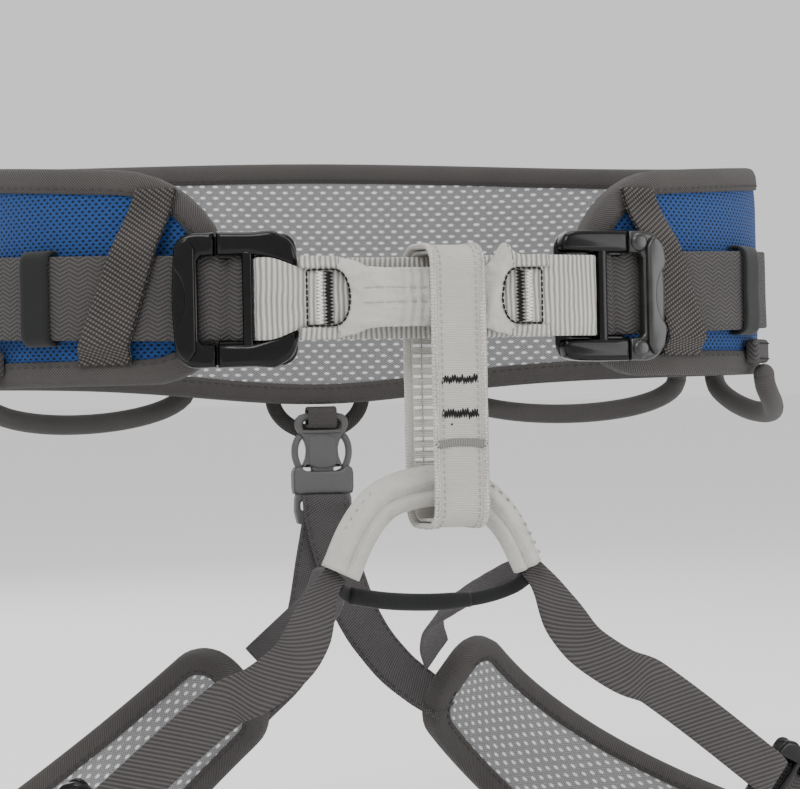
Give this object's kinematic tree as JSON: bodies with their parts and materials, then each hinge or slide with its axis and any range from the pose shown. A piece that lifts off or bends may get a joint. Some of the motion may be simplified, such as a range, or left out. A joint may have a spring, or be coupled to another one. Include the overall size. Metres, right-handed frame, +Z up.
{
  "type": "climbing harness",
  "caption": "Padded climbing harness with double-back buckles, belay loop, adjustable leg loops, gear loops, haul loop and rear release buckle.",
  "frame": {"origin": "centre of the waist opening, at the height of the belt buckles", "axes": "+Z up the wearer's body; the front faces -Y; +X is the wearer's left"},
  "size_m": [0.3502, 0.2475, 0.3205],
  "materials": {
    "slate_twill": "matte twill tape",
    "grey_webbing": "herringbone webbing",
    "dark_webbing": "flat webbing",
    "blue_mesh": "fine mesh with dark holes",
    "silver_mesh": "spacer mesh",
    "pale_webbing": "ribbed webbing",
    "pale_sleeve": "smooth woven sleeve",
    "foam": "closed-cell foam",
    "black_metal": "gloss",
    "grey_plastic": "satin moulded plastic",
    "moulded_tube": "satin moulded tube",
    "black_elastic": "ribbed elastic"
  },
  "bodies": {
    "harness": {"waist_lining": "silver_mesh", "waist_foam": "foam", "waist_shell": "blue_mesh", "waist_binding": "slate_twill", "waist_webbing": "grey_webbing", "tie_in_webbing": "pale_webbing", "tie_in_sleeve": "pale_sleeve", "leg_bridge_sleeve": "pale_sleeve", "leg_bridge_webbing": "grey_webbing", "leg_elastic": "black_elastic", "leg_elastic_sleeve": "black_elastic", "rear_short_strap": "grey_webbing", "rear_buckle_male": "grey_plastic", "waist_buckle_frame_left": "black_metal", "diagonal_tape_left": "slate_twill", "tail_keeper_left": "black_elastic", "riser_left": "slate_twill", "gear_tab_rear_rear_left": "slate_twill", "gear_tab_rear_front_left": "slate_twill", "gear_tab_side_rear_left": "slate_twill", "gear_tab_side_front_left": "slate_twill", "waist_buckle_frame_right": "black_metal", "diagonal_tape_right": "slate_twill", "tail_keeper_right": "black_elastic", "riser_right": "slate_twill", "gear_tab_rear_rear_right": "slate_twill", "gear_tab_rear_front_right": "slate_twill", "gear_tab_side_rear_right": "slate_twill", "gear_tab_side_front_right": "slate_twill"},
    "belay_loop": {"belay_loop_outer": "pale_webbing", "belay_loop_inner": "pale_webbing"},
    "rear_buckle_body": {"rear_buckle_female": "grey_plastic"},
    "haul_loop": {"haul_loop": "dark_webbing"},
    "leg_loop_left": {"leg_lining_left": "silver_mesh", "leg_foam_left": "foam", "leg_shell_left": "blue_mesh", "leg_binding_left": "slate_twill", "leg_webbing_left": "grey_webbing", "leg_front_strap_left": "grey_webbing", "leg_inner_strap_left": "slate_twill", "leg_buckle_frame_left": "black_metal"},
    "leg_buckle_lever_left": {"leg_buckle_lever_left": "black_metal"},
    "waist_buckle_lever_left": {"waist_buckle_lever_left": "black_metal"},
    "rear_buckle_prong_left": {"rear_buckle_prong_left": "grey_plastic"},
    "gear_loop_rear_left": {"gear_loop_rear_left": "moulded_tube"},
    "gear_loop_side_left": {"gear_loop_side_left": "moulded_tube"},
    "leg_loop_right": {"leg_lining_right": "silver_mesh", "leg_foam_right": "foam", "leg_shell_right": "blue_mesh", "leg_binding_right": "slate_twill", "leg_webbing_right": "grey_webbing", "leg_front_strap_right": "grey_webbing", "leg_inner_strap_right": "slate_twill", "leg_buckle_frame_right": "black_metal"},
    "leg_buckle_lever_right": {"leg_buckle_lever_right": "black_metal"},
    "waist_buckle_lever_right": {"waist_buckle_lever_right": "black_metal"},
    "rear_buckle_prong_right": {"rear_buckle_prong_right": "grey_plastic"},
    "gear_loop_rear_right": {"gear_loop_rear_right": "moulded_tube"},
    "gear_loop_side_right": {"gear_loop_side_right": "moulded_tube"}
  },
  "joints": [
    {"name": "belay_loop_slide", "type": "slide", "parent": "harness", "child": "belay_loop", "axis": [1, 0, 0], "range_m": [-0.009, 0]},
    {"name": "rear_buckle_release", "type": "slide", "parent": "harness", "child": "rear_buckle_body", "axis": [0, 0, -1], "range_m": [0, 0.015], "deforming": ["riser_left", "riser_right"]},
    {"name": "haul_loop_swing", "type": "hinge", "parent": "harness", "child": "haul_loop", "pos_m": [0.0052, 0.1131, -0.0225], "axis": [1, 0, 0], "range_deg": [0, 80]},
    {"name": "leg_loop_swing_left", "type": "hinge", "parent": "harness", "child": "leg_loop_left", "pos_m": [0.036, -0.108, -0.096], "axis": [0.0061, -0.931, 0.3651], "range_deg": [0, 30]},
    {"name": "waist_buckle_tilt_left", "type": "hinge", "parent": "harness", "child": "waist_buckle_lever_left", "pos_m": [0.07543, -0.11081, 0], "axis": [0, 0, -1], "range_deg": [0, 35]},
    {"name": "leg_buckle_tilt_left", "type": "hinge", "parent": "leg_loop_left", "child": "leg_buckle_lever_left", "pos_m": [0.12784, -0.11926, -0.18024], "axis": [-0.6431, -0.185, -0.7431], "range_deg": [0, 35]},
    {"name": "rear_prong_squeeze_left", "type": "hinge", "parent": "harness", "child": "rear_buckle_prong_left", "pos_m": [0.0156, 0.105, -0.0522], "axis": [0, 1, 0], "range_deg": [0, 6], "stiffness_Nm_per_rad": 0.02},
    {"name": "gear_loop_swing_rear_left", "type": "hinge", "parent": "harness", "child": "gear_loop_rear_left", "pos_m": [0.10661, 0.08189, -0.0282], "axis": [0.8318, -0.5551, 0], "range_deg": [0, 55]},
    {"name": "gear_loop_swing_side_left", "type": "hinge", "parent": "harness", "child": "gear_loop_side_left", "pos_m": [0.14991, -0.01824, -0.0282], "axis": [-0.175, -0.9846, 0], "range_deg": [0, 55]},
    {"name": "leg_loop_swing_right", "type": "hinge", "parent": "harness", "child": "leg_loop_right", "pos_m": [-0.036, -0.108, -0.096], "axis": [0.0061, 0.931, -0.3651], "range_deg": [0, 30]},
    {"name": "waist_buckle_tilt_right", "type": "hinge", "parent": "harness", "child": "waist_buckle_lever_right", "pos_m": [-0.07543, -0.11081, 0], "axis": [0, 0, 1], "range_deg": [0, 35]},
    {"name": "leg_buckle_tilt_right", "type": "hinge", "parent": "leg_loop_right", "child": "leg_buckle_lever_right", "pos_m": [-0.12784, -0.11926, -0.18024], "axis": [-0.6431, 0.185, 0.7431], "range_deg": [0, 35]},
    {"name": "rear_prong_squeeze_right", "type": "hinge", "parent": "harness", "child": "rear_buckle_prong_right", "pos_m": [-0.0056, 0.105, -0.0522], "axis": [0, -1, 0], "range_deg": [0, 6], "stiffness_Nm_per_rad": 0.02},
    {"name": "gear_loop_swing_rear_right", "type": "hinge", "parent": "harness", "child": "gear_loop_rear_right", "pos_m": [-0.0982, 0.08801, -0.0282], "axis": [0.878, 0.4787, 0], "range_deg": [0, 55]},
    {"name": "gear_loop_swing_side_right", "type": "hinge", "parent": "harness", "child": "gear_loop_side_right", "pos_m": [-0.15159, -0.00758, -0.0282], "axis": [-0.0723, 0.9974, 0], "range_deg": [0, 55]}
  ],
  "couplings": [
    {"joint": "rear_prong_squeeze_right", "follows": "rear_prong_squeeze_left", "ratio": 1}
  ]
}
